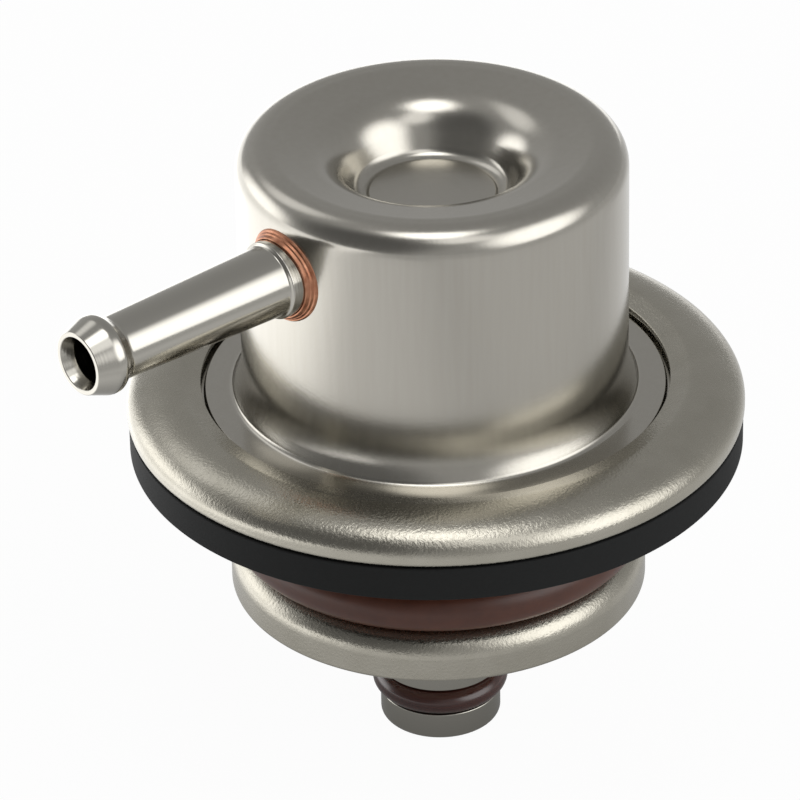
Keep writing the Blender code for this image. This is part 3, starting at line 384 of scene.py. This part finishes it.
NIPPLE_AXES = ((0, 0, 1), (0, 1, 0), (-1, 0, 0))
NIPPLE_BASE = (0, 0, 17.65)
BEAD_R = 2.7
vacuum_nipple = turned("vacuum_nipple_turned", bent([
    (2.0, 30.2, 0), (2.15, 30.2, 0.08), (BEAD_R, 28.7, 1.2), (BEAD_R, 28.2, 0.6), (2.15, 27.4, 0.6),
    (2.45, 14.42, 0.15), (2.68, 14.3, 0.1), (2.68, 13.27, 0.1), (2.45, 13.27, 0.05), (2.45, 11.97, 0.1),
    (1.5, 11.97, 0.1), (1.5, 29.3, 0.5), (1.85, 30.2, 0.08), (2.0, 30.2, 0)], 12, 12)[:-1],
    128, NIPPLE_AXES, NIPPLE_BASE)

# Polished steel: like the turned steel but smoother, with rings across the tube
polished_steel, tree, shader, place = start_finish("polished_turned_steel", "#b7b4ac", 1.0, 0.12)
split = add_node(tree, "SeparateXYZ", {"Vector": place})
marks = add_node(tree, "TexNoise", {"W": split.outputs["X"], "Scale": 1 / 0.00012, "Detail": 2.0},
                 noise_dimensions="1D")
ridges = add_node(tree, "Bump", {"Height": marks.outputs["Fac"], "Distance": 0.0000015})
worn = add_node(tree, "MapRange", {"Value": marks.outputs["Fac"], "To Min": 0.1, "To Max": 0.2})
tree.links.new(worn.outputs["Result"], shader["Roughness"])
tree.links.new(ridges.outputs["Normal"], shader["Normal"])
vacuum_nipple.data.materials.append(polished_steel)
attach(vacuum_nipple, "housing")
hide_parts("vacuum_nipple")


# Braze ring: a copper ring melted in a furnace. It has crept into a small fillet between the collar
# and the can, with fine rings where it froze, dark where it oxidised and pale where it wets the steel.

def can_wall(sideways):
    """How far the can's round wall falls back at a place beside the nipple's axis."""
    return np.sqrt(CAN_R ** 2 - sideways ** 2) - CAN_R


braze_ring = turned("braze_ring_melted", bent([
    (2.72, 13.75, 0), (2.82, 13.75, 0.05), (2.92, 13.5, 0.06), (3.0, 13.5, 0.05), (3.05, 13.32, 0.05),
    (3.16, 13.32, 0.05), (3.24, 13.2, 0.05), (3.26, 12.9, 0.1), (3.2, 12.55, 0.1),
    (2.72, 12.55, 0.05), (2.72, 13.75, 0)], 4, 4)[:-1], 128, NIPPLE_AXES, NIPPLE_BASE, can_wall)

# Copper braze: red-brown oxide in patches over paler bare copper
copper_braze, tree, shader, place = start_finish("copper_braze", "#8a4a2e", 1.0, 0.35)
flow = add_node(tree, "TexNoise", {"Vector": place, "Scale": 1 / 0.0006, "Detail": 4.0})
tint = add_node(tree, "MixRGB", {"Fac": flow.outputs["Fac"], "Color1": colour("#7a3a1e"),
                                 "Color2": colour("#d6a284")})
ripples = add_node(tree, "Bump", {"Height": flow.outputs["Fac"], "Distance": 0.00003})
tree.links.new(tint.outputs["Color"], shader["Base Color"])
tree.links.new(ripples.outputs["Normal"], shader["Normal"])
braze_ring.data.materials.append(copper_braze)
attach(braze_ring, "housing")
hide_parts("braze_ring")


# Flange ring: a flat ring moulded from black glass-filled nylon. It lies under the rolled rim and seats
# it on the rail.

flange_ring = turned("flange_ring_moulded", bent([
    (18, 2.4, 0), (21.0, 2.4, 0.12), (21.0, 0, 0.12), (14.8, 0, 0.15), (14.8, 2.4, 0.15), (18, 2.4, 0)],
    10, 12)[:-1], LARGE_SIDES)

# Glass-filled nylon: black that reads as dark grey, matt, with a faint fibre texture
black_nylon, tree, shader, place = start_finish("black_glass_filled_nylon", "#161717", 0.0, 0.75)
shader["Specular IOR Level"].default_value = 0.25
fibres = add_node(tree, "TexNoise", {"Vector": place, "Scale": 1 / 0.0002, "Detail": 4.0})
tint = add_node(tree, "MixRGB", {"Fac": fibres.outputs["Fac"], "Color1": colour("#131414"),
                                 "Color2": colour("#1a1b1b")})
texture = add_node(tree, "Bump", {"Height": fibres.outputs["Fac"], "Distance": 0.000008})
tree.links.new(tint.outputs["Color"], shader["Base Color"])
tree.links.new(texture.outputs["Normal"], shader["Normal"])
flange_ring.data.materials.append(black_nylon)
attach(flange_ring, "housing")
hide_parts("flange_ring")


# Main seal and spigot seal: moulded O-rings of brown fluoro rubber. The main one sits round the cup's
# neck, and the small one sits in the spigot's groove, lightly oiled.

ring_angle = np.linspace(0, 2 * math.pi, 48, endpoint=False)[:, None]


def ring_section(outer_r, section, height):
    """Round section of an O-ring: centre plus half the section along cos b and sin b."""
    half = section / 2
    return np.hstack([outer_r - half + half * np.cos(ring_angle), height + half * np.sin(ring_angle)])


main_o_ring = turned("main_o_ring_moulded", ring_section(14.7, 3.5, -5.55), 224)
spigot_o_ring = turned("spigot_o_ring_moulded", ring_section(4.75, 1.8, -19.35), 128)

# Fluoro rubber: dark red-brown with a satin skin, smooth enough for a soft highlight
fluoro_rubber, tree, shader, place = start_finish("brown_fluoro_rubber", "#4f2a1c", 0.0, 0.34)
bloom = add_node(tree, "TexNoise", {"Vector": place, "Scale": 1 / 0.0012, "Detail": 4.0})
tint = add_node(tree, "MixRGB", {"Fac": bloom.outputs["Fac"], "Color1": colour("#432216"),
                                 "Color2": colour("#583020")})
worn = add_node(tree, "MapRange", {"Value": bloom.outputs["Fac"], "To Min": 0.28, "To Max": 0.42})
tree.links.new(tint.outputs["Color"], shader["Base Color"])
tree.links.new(worn.outputs["Result"], shader["Roughness"])

# The same rubber under a film of assembly oil: darker and glossier
oiled_rubber, tree, shader, place = start_finish("oiled_fluoro_rubber", "#3e1f19", 0.0, 0.2)
shader["Coat Weight"].default_value = 0.5
shader["Coat Roughness"].default_value = 0.12
film = add_node(tree, "TexNoise", {"Vector": place, "Scale": 1 / 0.0008, "Detail": 3.0})
worn = add_node(tree, "MapRange", {"Value": film.outputs["Fac"], "To Min": 0.15, "To Max": 0.3})
tree.links.new(worn.outputs["Result"], shader["Roughness"])
for piece, node, finish in ((main_o_ring, "main_o_ring", fluoro_rubber),
                            (spigot_o_ring, "spigot_o_ring", oiled_rubber)):
    piece.data.materials.append(finish)
    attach(piece, "housing")
    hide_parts(node)


# Support disc: a cap pressed from 1 mm strip, pushed up the spigot under the main seal, with six
# inlet holes. It is tumbled and plated as the cup is.

def pierced(piece, outlines, low_z, high_z):
    """Cuts holes along Z through a piece. Each outline is carried from the low to the high height as
    a prism, and what a Boolean leaves of the piece outside the prisms becomes its mesh."""
    count, corners = outlines.shape[:2]
    zero = np.zeros((count, corners, 1))
    points = np.concatenate([np.dstack([outlines, zero + low_z]),
                             np.dstack([outlines, zero + high_z])], 1).reshape(-1, 3)
    start = 2 * corners * np.arange(count)[:, None]
    low, high = start + np.arange(corners), start + corners + np.arange(corners)
    sides = np.stack([low, np.roll(low, -1, 1), np.roll(high, -1, 1), high], 2).reshape(-1, 4)
    drill = add_piece("drill", points, sides.tolist() + low[:, ::-1].tolist() + high.tolist())
    boolean = piece.modifiers.new("Pierce", "BOOLEAN")
    boolean.object = drill
    bpy.context.view_layer.update()
    cut_mesh = bpy.data.meshes.new_from_object(piece.evaluated_get(bpy.context.evaluated_depsgraph_get()))
    piece.modifiers.clear()
    piece.data = cut_mesh
    cut_mesh.set_sharp_from_angle(angle=math.radians(35))
    bpy.data.objects.remove(drill)


support_disc = turned("support_disc_pressed", bent([
    (3.75, -7.9, 0), (3.75, -7.4, 0.2), (14.3, -7.4, 1.75), (14.35, -9.1, 0.06), (14.35, -10.85, 0.25),
    (13.35, -10.85, 0.1), (13.35, -8.4, 0.6), (3.75, -8.4, 0.05), (3.75, -7.9, 0)],
    12, 12)[:-1], LARGE_SIDES)
HOLES, HOLE_CENTRE_R, HOLE_R, HOLE_SIDES = 6, 7.7, 1.3, 48
hole_turn = (2 * math.pi * (np.arange(HOLES) + 0.5) / HOLES)[:, None]
hole_edge = 2 * math.pi * np.arange(HOLE_SIDES) / HOLE_SIDES
hole_outlines = np.stack([HOLE_CENTRE_R * np.cos(hole_turn) + HOLE_R * np.cos(hole_edge),
                          HOLE_CENTRE_R * np.sin(hole_turn) + HOLE_R * np.sin(hole_edge)], 2)
pierced(support_disc, hole_outlines, -9.4, -6.4)
support_disc.data.materials.append(tumbled_nickel)
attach(support_disc, "housing")
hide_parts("support_disc")


# Strainer frame: a wheel moulded from natural acetal, pushed up into the support disc's hollow. Its
# spokes carry the mesh.

strainer_frame = turned("strainer_frame_moulded", bent([
    (8, -8.45, 0), (13.1, -8.45, 0.75), (13.1, -10.25, 0.2), (12.2, -10.25, 0.2), (12.2, -9.25, 0.15),
    (5.0, -9.25, 0.15), (5.0, -10.25, 0.2), (3.75, -10.25, 0.2), (3.75, -8.45, 0.15), (8, -8.45, 0)],
    8, 10)[:-1], 192)
SPOKES, SPOKE_W, WINDOW_INNER_R, WINDOW_OUTER_R, WINDOW_STEPS = 6, 1.0, 5.05, 12.15, 16
window_r = np.repeat((WINDOW_INNER_R, WINDOW_OUTER_R), WINDOW_STEPS)
there_and_back = np.r_[np.linspace(-1, 1, WINDOW_STEPS), np.linspace(1, -1, WINDOW_STEPS)]
half_turn = (math.pi / SPOKES - np.arcsin(SPOKE_W / 2 / window_r)) * there_and_back
window_turn = 2 * math.pi * (np.arange(SPOKES) + 0.5)[:, None] / SPOKES + half_turn
window_outlines = np.stack([window_r * np.cos(window_turn), window_r * np.sin(window_turn)], 2)
pierced(strainer_frame, window_outlines, -9.8, -7.9)

# Natural acetal: off-white and slightly waxy, with faint flow marks of about 1.5 mm
natural_acetal, tree, shader, place = start_finish("natural_acetal", "#d8d4c8", 0.0, 0.45)
shader["Subsurface Weight"].default_value = 0.05
flow = add_node(tree, "TexNoise", {"Vector": place, "Scale": 1 / 0.0015, "Detail": 3.0})
tint = add_node(tree, "MixRGB", {"Fac": flow.outputs["Fac"], "Color1": colour("#d0ccbe"),
                                 "Color2": colour("#dfdbd0")})
worn = add_node(tree, "MapRange", {"Value": flow.outputs["Fac"], "To Min": 0.38, "To Max": 0.55})
tree.links.new(tint.outputs["Color"], shader["Base Color"])
tree.links.new(worn.outputs["Result"], shader["Roughness"])
strainer_frame.data.materials.append(natural_acetal)
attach(strainer_frame, "housing")
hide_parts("strainer_frame")


# Strainer mesh: plain-woven cloth, moulded into the frame. Real threads are about 0.1 mm thick and
# 0.25 mm apart, too fine to show, so they are drawn 0.14 mm thick and 0.6 mm apart.

THREAD_R, PITCH, WAVE, MESH_Z, MESH_INNER_R, MESH_OUTER_R = 0.07, 0.6, 0.07, -9.42, 5.1, 12.1


def thread(offset, start, end, over):
    """One thread of the cloth from start to end: it rises and falls by a cosine, once in two pitches,
    and a square section is carried along it. Returns its points and faces."""
    along = np.arange(start, end + PITCH / 4, PITCH / 2)
    along[-1] = end
    wave = over * WAVE * np.cos(math.pi * along / PITCH)
    corner = THREAD_R * np.array([(-1, 0), (0, -1), (1, 0), (0, 1)])
    points = np.stack([along[:, None] + 0 * corner[:, 0], offset + 0 * along[:, None] + corner[:, 0],
                       MESH_Z + wave[:, None] + corner[:, 1]], 2)
    index = np.arange(4 * len(along)).reshape(-1, 4)
    here, there = index[:-1], index[1:]
    quads = np.stack([here, np.roll(here, -1, 1), np.roll(there, -1, 1), there], 2).reshape(-1, 4)
    return points.reshape(-1, 3), np.vstack([quads, index[:1, ::-1], index[-1:]])


threads = []
for number in range(-19, 20):
    offset, over = number * PITCH, 1 if number % 2 else -1
    if abs(offset) < MESH_OUTER_R:
        far = math.sqrt(MESH_OUTER_R ** 2 - offset ** 2)
        near = math.sqrt(MESH_INNER_R ** 2 - offset ** 2) if abs(offset) < MESH_INNER_R else 0
        for start, end in ((-far, -near), (near, far)) if near else ((-far, far),):
            points, faces = thread(offset, start, end, over)
            across, _ = thread(offset, start, end, -over)
            threads += [(points, faces), (across[:, [1, 0, 2]], faces[:, ::-1])]
first = np.cumsum([0] + [len(points) for points, faces in threads])
all_points = np.vstack([points for points, faces in threads])
all_faces = np.vstack([faces + start for (points, faces), start in zip(threads, first)])
strainer_mesh = add_piece("strainer_mesh_woven", all_points, all_faces.tolist())

# Polyamide thread: natural white with a soft sheen, a little translucent
woven_polyamide, tree, shader, place = start_finish("woven_polyamide", "#e2ded2", 0.0, 0.5)
shader["Subsurface Weight"].default_value = 0.05
strainer_mesh.data.materials.append(woven_polyamide)
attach(strainer_mesh, "housing")
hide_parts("strainer_mesh")


# Floor: a wide pale sheet at the spigot's end. The camera sees it as white, mirror-like metal sees
# painted light and painted shade on it, and it keeps a little of the object's soft shadow.

VIEW_AZIMUTH, LAMP_AZIMUTH = math.radians(-40.6), math.radians(-60)
FLOOR_R, FLOOR_Z = 3.0, -0.0225
bpy.ops.mesh.primitive_circle_add(vertices=96, radius=FLOOR_R, fill_type="NGON", location=(0, 0, FLOOR_Z))
floor = bpy.context.object
floor.name = "floor"

# Matt white paper. What metal mirrors of it is painted light: a painted shadow under the object and a
# painted pool of light round it that falls off as the lamps would: (share of 0.3 m from the axis, grey)
PAINTED_POOL_R = 0.3
PAINTED_POOL = ((0.0, 0.13), (0.033, 0.2), (0.12, 0.53), (0.21, 0.67), (0.4, 0.6), (0.6, 0.5), (0.95, 0.5))
paper, tree, shader, place = start_finish("white_paper_and_painted_light", "#e8e8e8", 0.0, 0.9)
away = add_node(tree, "VectorMath", {0: place}, operation="LENGTH")
away_share = add_node(tree, "MapRange", {"Value": away.outputs["Value"], "From Max": PAINTED_POOL_R})
# Painted shadow under the object and painted pool of light round it, seen only in reflections
painted_pool = add_node(tree, "ValToRGB", {"Fac": away_share.outputs["Result"]})

# Painted light from the lamp at the far left: the mirrored paper is painted brighter there than
# on the right: (share of the way from 70 mm on the axis's far side from the lamp to 70 mm on its side,
# grey)
PAINTED_SLANT_REACH = 0.07
PAINTED_SLANT = ((0.0, 0.36), (0.1, 0.29), (0.3, 0.39), (0.65, 0.42), (0.78, 0.58), (0.92, 1.0))
lamp_turn = LAMP_AZIMUTH - VIEW_AZIMUTH
sideways = add_node(tree, "VectorMath", {0: place, 1: (math.sin(lamp_turn), math.cos(lamp_turn), 0)},
                    operation="DOT_PRODUCT")
lamp_share = add_node(tree, "MapRange", {"Value": sideways.outputs["Value"], "From Min": -PAINTED_SLANT_REACH,
                                         "From Max": PAINTED_SLANT_REACH})
# Painted light: the mirrored paper is painted brighter on the lamp's side
painted_slant = add_node(tree, "ValToRGB", {"Fac": lamp_share.outputs["Result"]})
for ramp, stops in ((painted_pool.color_ramp, PAINTED_POOL), (painted_slant.color_ramp, PAINTED_SLANT)):
    ramp.interpolation = "B_SPLINE"
    ramp.elements.remove(ramp.elements[1])
    for position, grey in stops:
        stop = ramp.elements.new(position) if position else ramp.elements[0]
        stop.color = (grey, grey, grey, 1.0)
rays = add_node(tree, "LightPath", {})
# The paper's painted shade and painted light together, as glossy rays see them
painted_floor_light = add_node(tree, "MixRGB", {"Fac": 1.0, "Color1": painted_pool.outputs["Color"],
                                "Color2": painted_slant.outputs["Color"]}, blend_type="MULTIPLY")
# The camera sees plain white, glossy rays see the painted light and shade
white_or_painted_light = add_node(tree, "MixRGB", {"Fac": rays.outputs["Is Camera Ray"], "Color1": painted_floor_light.outputs["Color"],
                                     "Color2": (1, 1, 1, 1)})
seen = add_node(tree, "Math", {0: rays.outputs["Is Camera Ray"], 1: rays.outputs["Is Glossy Ray"]},
                operation="MAXIMUM")
# Glossy rays see the painted light 3.3 times as strong as the camera sees the white
glow = add_node(tree, "MapRange", {"Value": rays.outputs["Is Camera Ray"], "To Min": 3.3,
                                   "To Max": 1.0})
partly = add_node(tree, "Math", {0: seen.outputs["Value"], 1: 0.96}, operation="MULTIPLY")
white = add_node(tree, "Emission", {"Color": white_or_painted_light.outputs["Color"],
                                    "Strength": glow.outputs["Result"]})
matt = tree.nodes["Principled BSDF"].outputs["BSDF"]
blend = add_node(tree, "MixShader", {0: partly.outputs["Value"], 1: matt, 2: white.outputs["Emission"]})
# From below the paper is clear, so that the object's underside can be looked at
from_below = add_node(tree, "MixShader", {0: add_node(tree, "NewGeometry", {}).outputs["Backfacing"],
                                          1: blend.outputs["Shader"],
                                          2: add_node(tree, "BsdfTransparent", {}).outputs["BSDF"]})
tree.links.new(from_below.outputs["Shader"], tree.nodes["Material Output"].inputs["Surface"])
floor.data.materials.append(paper)


# Studio: a grey room with soft boxes, each a direction seen from the object, a width and a strength.
# Azimuths are degrees to the right of the view's far side.

def direction(azimuth, elevation):
    """Unit vector at an azimuth to the right of the far side and an elevation above the floor."""
    azimuth, elevation = math.radians(azimuth) - VIEW_AZIMUTH, math.radians(elevation)
    return (math.sin(azimuth) * math.cos(elevation), math.cos(azimuth) * math.cos(elevation),
            math.sin(elevation))


studio = bpy.data.worlds.new("studio")
bpy.context.scene.world = studio
studio.use_nodes = True
tree = studio.node_tree
towards = add_node(tree, "TexCoord", {}).outputs["Generated"]
height = add_node(tree, "SeparateXYZ", {"Vector": towards}).outputs["Z"]
# The room is a little brighter at the floor's height than overhead
level = add_node(tree, "MapRange", {"Value": height, "From Min": 0.0, "From Max": 1.0,
                                    "To Min": 0.5, "To Max": 0.42}).outputs["Result"]
# (azimuth, elevation, inner degrees, outer degrees, strength)
SOFT_BOXES = (
    (180, 81, 8, 18, 2.7),
    (158, 55, 5, 18, 1.1),
    (117, 22, 12, 37, 2.0),
    (-67, 4, 10, 30, 2.0),
    (-46, 46, 4, 18, 0.8),
    (-135, 30, 20, 50, -0.3),
    (30, 35, 15, 50, -0.05),
)
for azimuth, elevation, inner, outer, strength in SOFT_BOXES:
    facing = add_node(tree, "VectorMath", {0: towards, 1: direction(azimuth, elevation)},
                      operation="DOT_PRODUCT")
    box = add_node(tree, "MapRange", {
        "Value": facing.outputs["Value"], "From Min": math.cos(math.radians(outer)),
        "From Max": math.cos(math.radians(inner)), "To Max": strength}, interpolation_type="SMOOTHSTEP")
    level = add_node(tree, "Math", {0: level, 1: box.outputs["Result"]}, operation="ADD").outputs["Value"]
rays = add_node(tree, "LightPath", {})
level = add_node(tree, "Mix", {0: rays.outputs["Is Camera Ray"], 2: level, 3: 1.0}).outputs[0]
tree.links.new(level, tree.nodes["Background"].inputs["Strength"])
tree.nodes["Background"].inputs["Color"].default_value = (1, 1, 1, 1)

bpy.context.scene.view_settings.view_transform = "Standard"


# Camera: 0.4 m from the seal neck, 30.9 degrees above the floor, with the photograph's long lens. Its
# three small turns put the object where the photograph has it.

ELEVATION, DISTANCE, FOCAL_PX, PAN, TILT, ROLL = 0.539364, 0.4, 5850.668, 0.006124, 0.000369, 0.016523
PHOTO_PX, SENSOR_MM = 800, 36
TARGET = np.array([0, 0, 0.0026])


def swing(axis, angle):
    """Right-handed turn about a unit axis: I + sin a K + (1 - cos a) K squared."""
    k = np.array([[0, -axis[2], axis[1]], [axis[2], 0, -axis[0]], [-axis[1], axis[0], 0]])
    return np.eye(3) + math.sin(angle) * k + (1 - math.cos(angle)) * k @ k


forward = np.array([0, math.cos(ELEVATION), -math.sin(ELEVATION)])
right = np.array([1.0, 0, 0])
up = np.cross(right, forward)
right, up = swing(forward, ROLL) @ right, swing(forward, ROLL) @ up
forward, right = swing(up, PAN) @ forward, swing(up, PAN) @ right
forward, up = swing(right, TILT) @ forward, swing(right, TILT) @ up
about_z = swing(np.array([0, 0, 1.0]), VIEW_AZIMUTH)
position = TARGET + about_z @ np.array([0, -math.cos(ELEVATION), math.sin(ELEVATION)]) * DISTANCE
turn = about_z @ np.stack([right, up, -forward], 1)
lens = bpy.data.cameras.new("camera")
lens.sensor_width = SENSOR_MM
lens.sensor_fit = "HORIZONTAL"
lens.lens = FOCAL_PX / PHOTO_PX * SENSOR_MM
lens.clip_start, lens.clip_end = 0.01, 20
camera = bpy.data.objects.new("camera", lens)
bpy.context.scene.collection.objects.link(camera)
pose = np.eye(4)
pose[:3, :3], pose[:3, 3] = turn, position
camera.matrix_world = Matrix(pose.tolist())
bpy.context.scene.camera = camera
